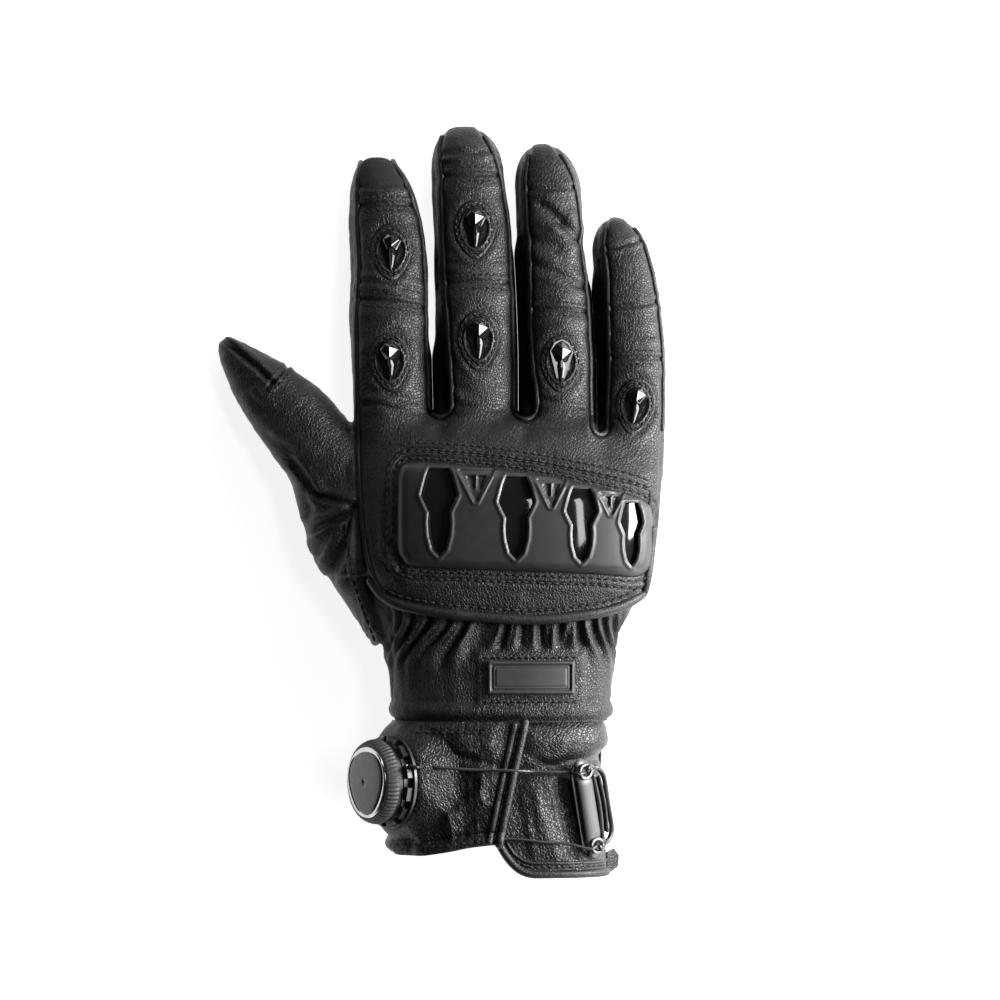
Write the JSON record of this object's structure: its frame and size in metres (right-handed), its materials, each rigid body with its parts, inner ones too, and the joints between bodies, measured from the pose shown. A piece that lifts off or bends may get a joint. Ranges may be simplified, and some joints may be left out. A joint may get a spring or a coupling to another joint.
{
  "type": "riding glove",
  "caption": "Right-hand leather motorcycle glove with knuckle and finger armour, an elasticated wrist and a cuff closed by a turning dial and lace.",
  "frame": {"origin": "centre of the bounding box's underside, on the surface the glove lies on, palm down", "axes": "+Y from the cuff to the fingertips, +Z out of the back of the hand, +X towards the little finger"},
  "size_m": [0.1451, 0.247, 0.0532],
  "materials": {
    "leather": "fine grained, satin",
    "suede": "matt suede",
    "stretch": "matt stretch knit",
    "lining": "matt knit",
    "guard_rubber": "satin moulded",
    "gloss_armour": "polished",
    "foam": "matt",
    "rubber": "matt",
    "plastic": "satin",
    "steel": "brushed",
    "trim": "polished",
    "lace": "coated steel"
  },
  "bodies": {
    "hand": {"hand_back": "leather", "palm_panel": "leather", "thumb_saddle": "leather", "thumb_gusset": "stretch", "hand_lining": "lining", "back_hem": "leather", "knuckle_guard": "guard_rubber", "knuckle_shell": "gloss_armour", "knuckle_foam": "foam", "palm_slider_thumb_side": "gloss_armour", "palm_slider_outer_side": "gloss_armour", "palm_patch": "suede", "wrist_gather": "leather", "wrist_elastic": "lining", "wrist_palm_gather": "leather"},
    "index_base": {"index_base": "leather", "stud_index_base": "gloss_armour"},
    "index_middle": {"index_middle": "leather", "stud_index_middle": "gloss_armour"},
    "index_tip": {"index_tip": "leather"},
    "middle_base": {"middle_base": "leather", "stud_middle_base": "gloss_armour"},
    "middle_middle": {"middle_middle": "leather", "stud_middle_middle": "gloss_armour"},
    "middle_tip": {"middle_tip": "leather"},
    "ring_base": {"ring_base": "leather", "stud_ring_base": "gloss_armour"},
    "ring_middle": {"ring_middle": "leather"},
    "ring_tip": {"ring_tip": "leather"},
    "little_base": {"little_base": "leather", "stud_little_base": "gloss_armour"},
    "little_middle": {"little_middle": "leather"},
    "little_tip": {"little_tip": "leather"},
    "thumb_base": {"thumb_base": "leather"},
    "thumb_tip": {"thumb_tip": "leather"},
    "cuff": {"wrist_band": "leather", "wrist_badge": "rubber", "cuff_tongue": "leather", "cuff_palm": "leather", "cuff_lining": "lining", "tongue_binding": "leather", "lace_guide": "plastic", "guide_loops": "steel", "guide_plate": "gloss_armour", "pull_tab": "rubber"},
    "flap": {"cuff_flap": "leather", "flap_binding": "leather", "lace": "lace", "lace_sleeve": "plastic", "dial_base": "plastic", "dial_ratchet": "plastic", "dial_axle": "steel"},
    "spool": {"dial_spool": "plastic"},
    "dial_carrier": {"dial_core": "plastic"},
    "dial": {"dial_knob": "plastic", "dial_grip": "rubber", "dial_trim": "trim", "dial_insert": "gloss_armour"}
  },
  "joints": [
    {"name": "index_root_bend", "type": "hinge", "parent": "hand", "child": "index_base", "pos_m": [-0.0153, 0.031, 0.01238], "axis": [-1, 0, 0], "range_deg": [0, 60]},
    {"name": "index_middle_bend", "type": "hinge", "parent": "index_base", "child": "index_middle", "pos_m": [-0.01637, 0.067, 0.00947], "axis": [-1, 0, 0], "range_deg": [0, 75]},
    {"name": "index_tip_bend", "type": "hinge", "parent": "index_middle", "child": "index_tip", "pos_m": [-0.01721, 0.095, 0.00738], "axis": [-1, 0, 0], "range_deg": [0, 45]},
    {"name": "middle_root_bend", "type": "hinge", "parent": "hand", "child": "middle_base", "pos_m": [0.0112, 0.031, 0.01238], "axis": [-1, 0, 0], "range_deg": [0, 60]},
    {"name": "middle_middle_bend", "type": "hinge", "parent": "middle_base", "child": "middle_middle", "pos_m": [0.01013, 0.0705, 0.00963], "axis": [-1, 0, 0], "range_deg": [0, 75]},
    {"name": "middle_tip_bend", "type": "hinge", "parent": "middle_middle", "child": "middle_tip", "pos_m": [0.00925, 0.103, 0.00747], "axis": [-1, 0, 0], "range_deg": [0, 45]},
    {"name": "ring_root_bend", "type": "hinge", "parent": "hand", "child": "ring_base", "pos_m": [0.0382, 0.031, 0.01221], "axis": [-1, 0, 0], "range_deg": [0, 60]},
    {"name": "ring_middle_bend", "type": "hinge", "parent": "ring_base", "child": "ring_middle", "pos_m": [0.03726, 0.062, 0.00998], "axis": [-1, 0, 0], "range_deg": [0, 75]},
    {"name": "ring_tip_bend", "type": "hinge", "parent": "ring_middle", "child": "ring_tip", "pos_m": [0.03651, 0.087, 0.00804], "axis": [-1, 0, 0], "range_deg": [0, 45]},
    {"name": "little_root_bend", "type": "hinge", "parent": "hand", "child": "little_base", "pos_m": [0.062, 0.028, 0.01115], "axis": [-1, 0, 0], "range_deg": [0, 60]},
    {"name": "little_middle_bend", "type": "hinge", "parent": "little_base", "child": "little_middle", "pos_m": [0.06148, 0.048, 0.00934], "axis": [-1, 0, 0], "range_deg": [0, 75]},
    {"name": "little_tip_bend", "type": "hinge", "parent": "little_middle", "child": "little_tip", "pos_m": [0.06098, 0.067, 0.00747], "axis": [-1, 0, 0], "range_deg": [0, 45]},
    {"name": "thumb_root_bend", "type": "hinge", "parent": "hand", "child": "thumb_base", "pos_m": [-0.04277, 0.01567, 0.00964], "axis": [-0.8039, -0.5948, 0], "range_deg": [0, 40]},
    {"name": "thumb_tip_bend", "type": "hinge", "parent": "thumb_base", "child": "thumb_tip", "pos_m": [-0.05585, 0.03335, 0.00769], "axis": [-0.8039, -0.5948, 0], "range_deg": [0, 60]},
    {"name": "wrist_flex", "type": "hinge", "parent": "hand", "child": "cuff", "pos_m": [0.0195, -0.0445, 0.022], "axis": [1, 0, 0], "range_deg": [-20, 20], "deforming": ["wrist_gather", "wrist_elastic", "wrist_palm_gather"]},
    {"name": "flap_tighten", "type": "slide", "parent": "cuff", "child": "flap", "axis": [1, 0, 0], "range_m": [-0.003, 0.004], "deforming": ["lace"]},
    {"name": "spool_turn", "type": "hinge", "parent": "flap", "child": "spool", "pos_m": [-0.01512, -0.0905, 0.03543], "axis": [-0.8387, 0, 0.5446], "continuous": true},
    {"name": "dial_pull", "type": "slide", "parent": "flap", "child": "dial_carrier", "axis": [-0.8387, 0, 0.5446], "range_m": [0, 0.002]},
    {"name": "dial_turn", "type": "hinge", "parent": "dial_carrier", "child": "dial", "pos_m": [-0.01512, -0.0905, 0.03543], "axis": [-0.8387, 0, 0.5446], "continuous": true}
  ],
  "couplings": [
    {"joint": "spool_turn", "follows": "dial_turn", "ratio": 1}
  ]
}
